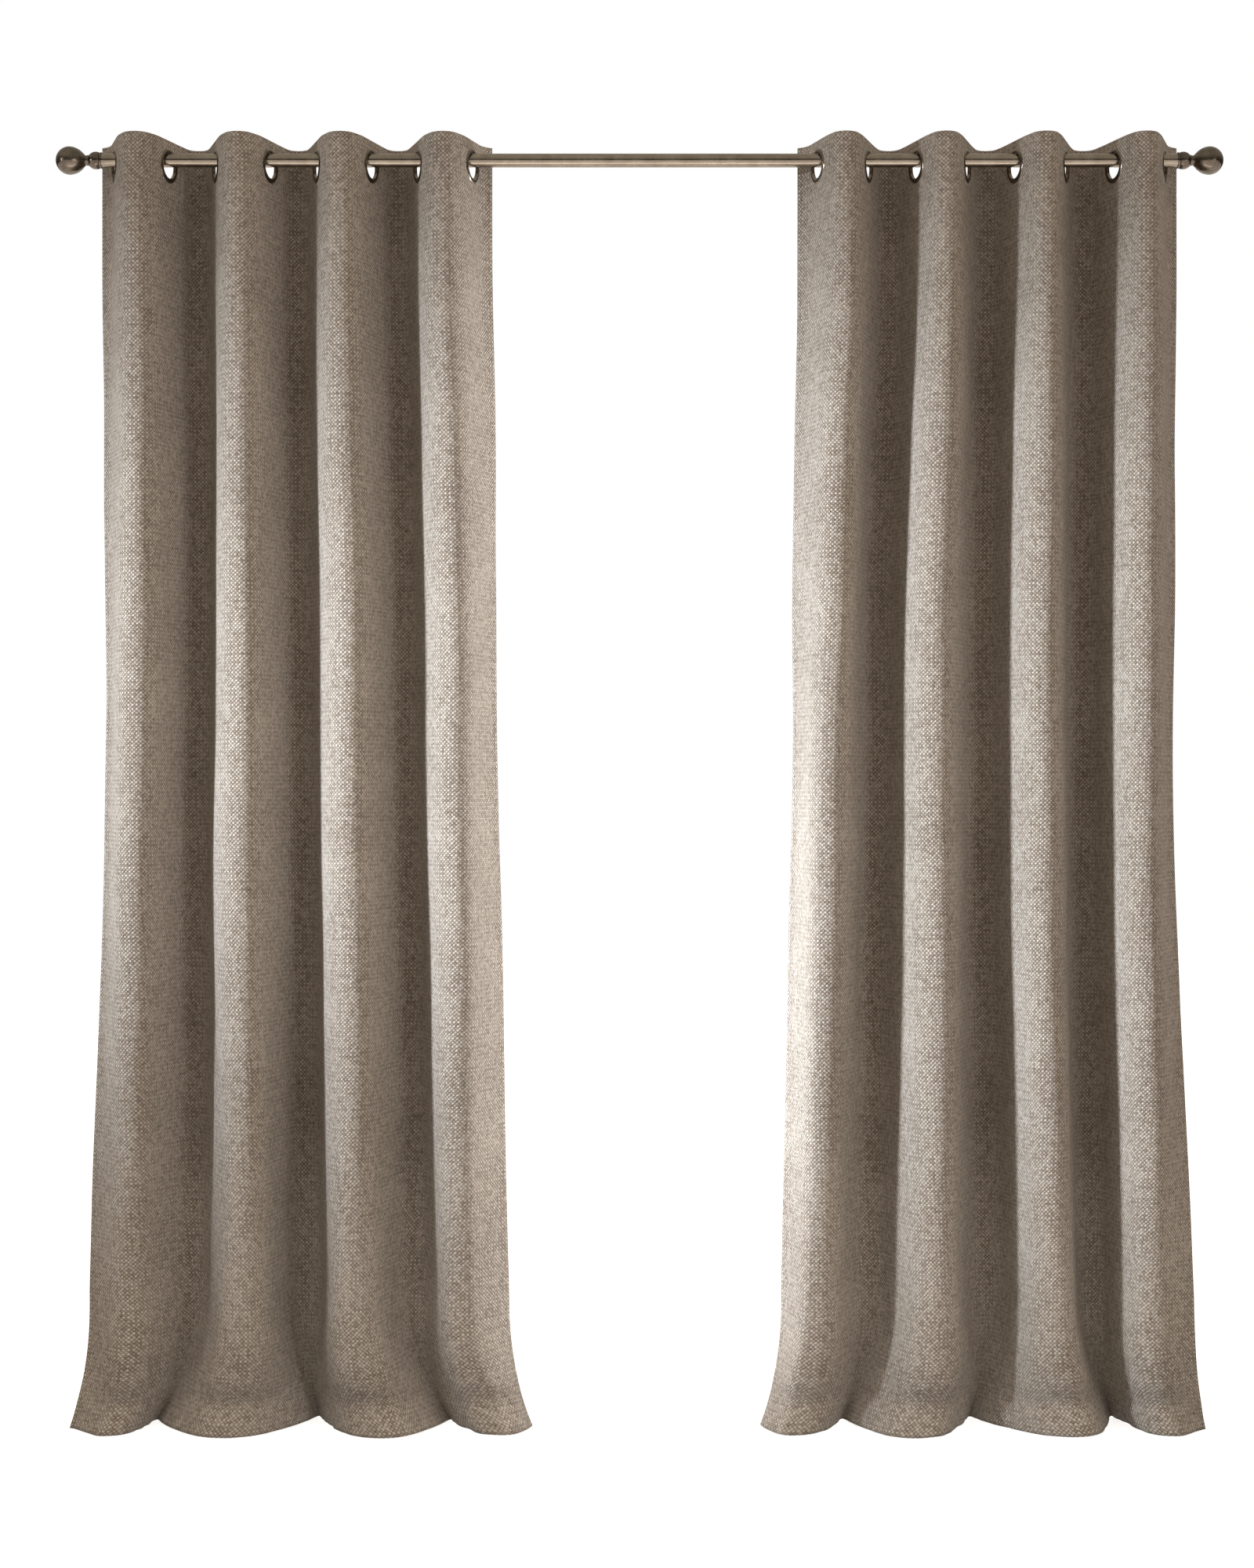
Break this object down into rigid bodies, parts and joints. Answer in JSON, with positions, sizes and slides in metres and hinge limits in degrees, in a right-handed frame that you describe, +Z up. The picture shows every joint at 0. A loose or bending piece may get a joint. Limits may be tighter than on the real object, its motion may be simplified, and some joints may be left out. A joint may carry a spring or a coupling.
{
  "type": "window curtains on a rod",
  "caption": "Pair of grommet-top curtain panels that draw along a wall-mounted rod with ball finials, brackets and pleats that follow the leading edge.",
  "frame": {"origin": "on the wall, at the centre of the four wall screw holes: midway between the brackets, level with the rod's axis", "axes": "+X along the rod to the right as seen from the room, +Y into the wall, +Z up"},
  "size_m": [1.9064, 0.1656, 2.102],
  "materials": {
    "cloth": "matte",
    "rod_metal": "satin",
    "finial_metal": "satin",
    "bracket_metal": "satin",
    "grommet_metal": "satin"
  },
  "bodies": {
    "root": {"rod_tube": "rod_metal", "left_finial_collar": "finial_metal", "left_finial_ball": "finial_metal", "left_bracket_plate": "bracket_metal", "left_bracket_arm": "bracket_metal", "left_bracket_thumbscrew": "bracket_metal", "left_pleat_1": "cloth", "left_eyelet_1": "grommet_metal", "left_washer_1": "grommet_metal", "right_finial_collar": "finial_metal", "right_finial_ball": "finial_metal", "right_bracket_plate": "bracket_metal", "right_bracket_arm": "bracket_metal", "right_bracket_thumbscrew": "bracket_metal", "right_pleat_1": "cloth", "right_eyelet_1": "grommet_metal", "right_washer_1": "grommet_metal"},
    "left_leading_edge": {"left_pleat_8": "cloth", "left_eyelet_8": "grommet_metal", "left_washer_8": "grommet_metal"},
    "left_fold_7": {"left_pleat_7": "cloth", "left_eyelet_7": "grommet_metal", "left_washer_7": "grommet_metal"},
    "left_fold_6": {"left_pleat_6": "cloth", "left_eyelet_6": "grommet_metal", "left_washer_6": "grommet_metal"},
    "left_fold_5": {"left_pleat_5": "cloth", "left_eyelet_5": "grommet_metal", "left_washer_5": "grommet_metal"},
    "left_fold_4": {"left_pleat_4": "cloth", "left_eyelet_4": "grommet_metal", "left_washer_4": "grommet_metal"},
    "left_fold_3": {"left_pleat_3": "cloth", "left_eyelet_3": "grommet_metal", "left_washer_3": "grommet_metal"},
    "left_fold_2": {"left_pleat_2": "cloth", "left_eyelet_2": "grommet_metal", "left_washer_2": "grommet_metal"},
    "right_leading_edge": {"right_pleat_8": "cloth", "right_eyelet_8": "grommet_metal", "right_washer_8": "grommet_metal"},
    "right_fold_7": {"right_pleat_7": "cloth", "right_eyelet_7": "grommet_metal", "right_washer_7": "grommet_metal"},
    "right_fold_6": {"right_pleat_6": "cloth", "right_eyelet_6": "grommet_metal", "right_washer_6": "grommet_metal"},
    "right_fold_5": {"right_pleat_5": "cloth", "right_eyelet_5": "grommet_metal", "right_washer_5": "grommet_metal"},
    "right_fold_4": {"right_pleat_4": "cloth", "right_eyelet_4": "grommet_metal", "right_washer_4": "grommet_metal"},
    "right_fold_3": {"right_pleat_3": "cloth", "right_eyelet_3": "grommet_metal", "right_washer_3": "grommet_metal"},
    "right_fold_2": {"right_pleat_2": "cloth", "right_eyelet_2": "grommet_metal", "right_washer_2": "grommet_metal"}
  },
  "joints": [
    {"name": "left_draw", "type": "slide", "parent": "root", "child": "left_leading_edge", "axis": [1, 0, 0], "range_m": [-0.245, 0.215]},
    {"name": "left_follow_7", "type": "slide", "parent": "root", "child": "left_fold_7", "axis": [1, 0, 0], "range_m": [-0.2106, 0.1849]},
    {"name": "left_follow_6", "type": "slide", "parent": "root", "child": "left_fold_6", "axis": [1, 0, 0], "range_m": [-0.1756, 0.1542]},
    {"name": "left_follow_5", "type": "slide", "parent": "root", "child": "left_fold_5", "axis": [1, 0, 0], "range_m": [-0.1406, 0.1235]},
    {"name": "left_follow_4", "type": "slide", "parent": "root", "child": "left_fold_4", "axis": [1, 0, 0], "range_m": [-0.1056, 0.0927]},
    {"name": "left_follow_3", "type": "slide", "parent": "root", "child": "left_fold_3", "axis": [1, 0, 0], "range_m": [-0.0706, 0.062]},
    {"name": "left_follow_2", "type": "slide", "parent": "root", "child": "left_fold_2", "axis": [1, 0, 0], "range_m": [-0.0356, 0.0313]},
    {"name": "right_draw", "type": "slide", "parent": "root", "child": "right_leading_edge", "axis": [-1, 0, 0], "range_m": [-0.245, 0.24]},
    {"name": "right_follow_7", "type": "slide", "parent": "root", "child": "right_fold_7", "axis": [-1, 0, 0], "range_m": [-0.2106, 0.2063]},
    {"name": "right_follow_6", "type": "slide", "parent": "root", "child": "right_fold_6", "axis": [-1, 0, 0], "range_m": [-0.1756, 0.172]},
    {"name": "right_follow_5", "type": "slide", "parent": "root", "child": "right_fold_5", "axis": [-1, 0, 0], "range_m": [-0.1406, 0.1377]},
    {"name": "right_follow_4", "type": "slide", "parent": "root", "child": "right_fold_4", "axis": [-1, 0, 0], "range_m": [-0.1056, 0.1035]},
    {"name": "right_follow_3", "type": "slide", "parent": "root", "child": "right_fold_3", "axis": [-1, 0, 0], "range_m": [-0.0706, 0.0692]},
    {"name": "right_follow_2", "type": "slide", "parent": "root", "child": "right_fold_2", "axis": [-1, 0, 0], "range_m": [-0.0356, 0.0349]}
  ],
  "couplings": [
    {"joint": "left_follow_7", "follows": "left_draw", "ratio": 0.85714},
    {"joint": "left_follow_6", "follows": "left_draw", "ratio": 0.71429},
    {"joint": "left_follow_5", "follows": "left_draw", "ratio": 0.57143},
    {"joint": "left_follow_4", "follows": "left_draw", "ratio": 0.42857},
    {"joint": "left_follow_3", "follows": "left_draw", "ratio": 0.28571},
    {"joint": "left_follow_2", "follows": "left_draw", "ratio": 0.14286},
    {"joint": "right_follow_7", "follows": "right_draw", "ratio": 0.85714},
    {"joint": "right_follow_6", "follows": "right_draw", "ratio": 0.71429},
    {"joint": "right_follow_5", "follows": "right_draw", "ratio": 0.57143},
    {"joint": "right_follow_4", "follows": "right_draw", "ratio": 0.42857},
    {"joint": "right_follow_3", "follows": "right_draw", "ratio": 0.28571},
    {"joint": "right_follow_2", "follows": "right_draw", "ratio": 0.14286}
  ]
}
